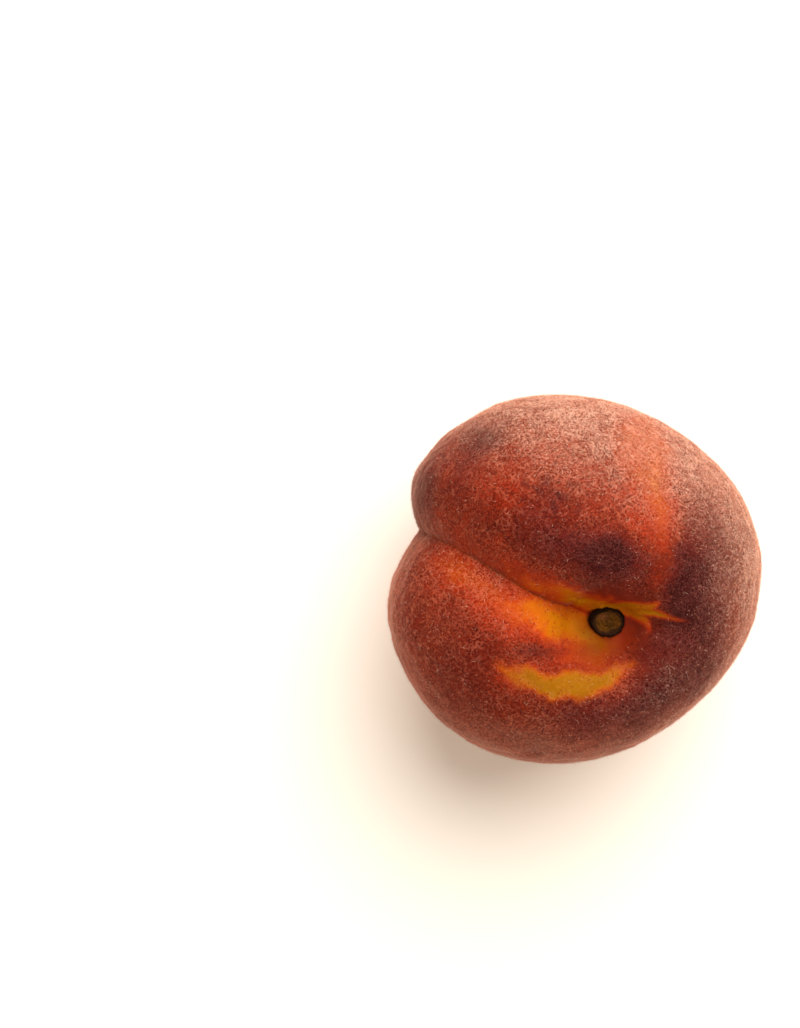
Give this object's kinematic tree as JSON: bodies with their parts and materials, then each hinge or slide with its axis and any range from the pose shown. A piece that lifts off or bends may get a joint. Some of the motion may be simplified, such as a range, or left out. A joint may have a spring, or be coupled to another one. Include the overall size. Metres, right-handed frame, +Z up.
{
  "type": "peach",
  "caption": "Whole ripe peach with a deep suture between two uneven cheeks, a stem hollow with the woody stalk end in it, and a small flat spot to rest on.",
  "frame": {"origin": "middle of the fruit's footprint box, at the height of the flat spot it rests on", "axes": "+Z up, with the stem hollow facing up; the core leans 22 degrees from +Z, towards +X and -Y; the suture runs from the hollow down the -X side"},
  "size_m": [0.0748, 0.0736, 0.0684],
  "materials": {
    "fuzzy_skin": "velvety, covered in short pale down, red and purple over golden yellow",
    "dry_stalk": "dry, rough, dark brown"
  },
  "bodies": {
    "root": {"fruit": "fuzzy_skin", "stem_scar": "dry_stalk"}
  },
  "joints": []
}
